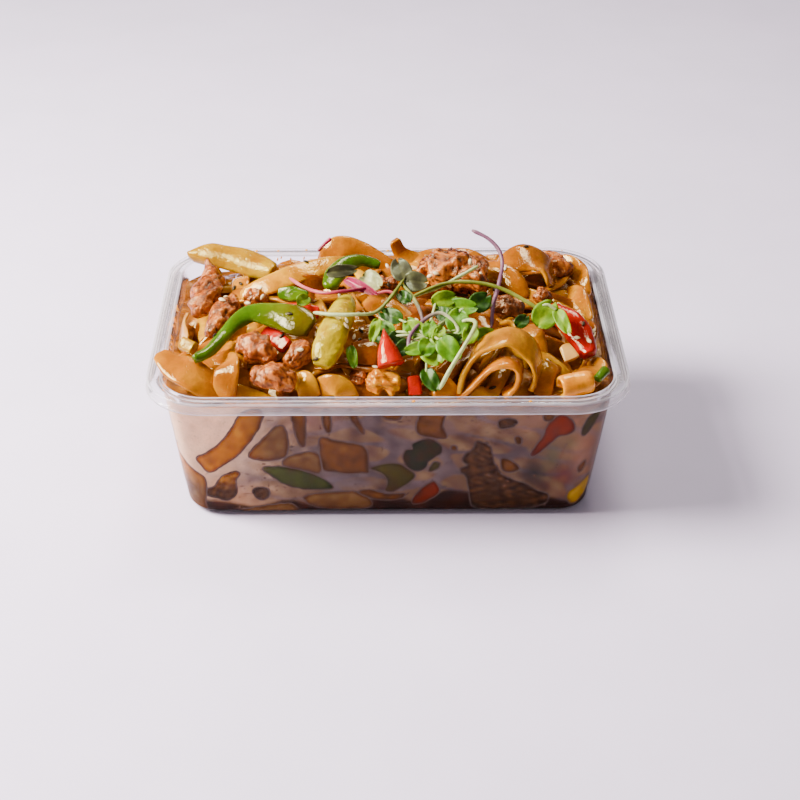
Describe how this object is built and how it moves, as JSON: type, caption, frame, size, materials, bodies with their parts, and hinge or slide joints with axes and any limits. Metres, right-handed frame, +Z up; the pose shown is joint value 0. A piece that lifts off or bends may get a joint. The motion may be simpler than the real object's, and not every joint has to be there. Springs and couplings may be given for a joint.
{
  "type": "noodle takeaway box",
  "caption": "Clear rectangular takeaway box with a flat rim, heaped above it with wide fried noodles, beef strips, peppers, onion, sesame and small sprouts.",
  "frame": {"origin": "middle of the box's underside, on the plane it stands on", "axes": "+X to the right along the box's long side, +Y to the back, +Z up"},
  "size_m": [0.1762, 0.1212, 0.0892],
  "materials": {
    "clear_plastic": "clear, slightly milky moulded plastic, glossy",
    "noodle": "wide fried noodles, wet with brown sauce",
    "cress": "fresh green sprout leaves, satin",
    "grey_leaf": "grey-green young leaf with a purple flush, satin",
    "pale_leaf": "pale spotted young leaf, satin",
    "magenta_stem": "thin magenta sprout stem, satin",
    "green_pepper": "fried green pepper, glossy",
    "green_stalk": "yellow-green vegetable stalk, glossy",
    "yellow_pepper": "fried yellow pepper, glossy with oil",
    "red_pepper": "fried red pepper, glossy",
    "orange_pepper": "orange pepper and carrot, glossy",
    "onion": "translucent cooked onion, glossy",
    "omelette": "crinkled yellow piece, satin",
    "beef": "seared beef strips in a glossy brown sauce"
  },
  "bodies": {
    "root": {"box": "clear_plastic", "noodles": "noodle", "cress": "cress", "sprout_leaf_light": "cress", "sprout_leaf_bright": "cress", "sprout_leaf_small": "cress", "pressed_cress": "cress", "pressed_leaves": "cress", "sprout_leaf_grey": "grey_leaf", "sprout_leaf_pale": "pale_leaf", "sprout_stem_back": "magenta_stem", "green_pepper_curved": "green_pepper", "green_pepper_back": "green_pepper", "green_pepper_small": "green_pepper", "green_pepper_corner": "green_pepper", "pressed_green_pepper": "green_pepper", "pressed_olive_pepper": "green_pepper", "pressed_olive_strip": "green_pepper", "pressed_back_green": "green_pepper", "green_stalk": "green_stalk", "yellow_pepper": "yellow_pepper", "yellow_pepper_bit": "yellow_pepper", "pressed_yellow_bit": "yellow_pepper", "red_pepper_left": "red_pepper", "red_pepper_right": "red_pepper", "red_pepper_front": "red_pepper", "pressed_red_pepper": "red_pepper", "pressed_side_red": "red_pepper", "orange_pepper": "orange_pepper", "orange_wedge": "orange_pepper", "pressed_orange_pepper": "orange_pepper", "pressed_carrot": "orange_pepper", "onion_left": "onion", "onion_right": "onion", "crinkled_omelette": "omelette", "beef_left": "beef", "beef_left_inner": "beef", "beef_crumbly_left": "beef", "beef_middle": "beef", "beef_by_stalk": "beef", "beef_front": "beef", "beef_curl": "beef", "beef_back_small": "beef", "beef_crumbly_right": "beef", "beef_right": "beef", "beef_dark": "beef", "beef_by_hood": "beef", "pressed_beef": "beef", "pressed_beef_left": "beef", "pressed_beef_bit": "beef", "pressed_back_beef": "beef", "pressed_side_beef": "beef"}
  },
  "joints": []
}
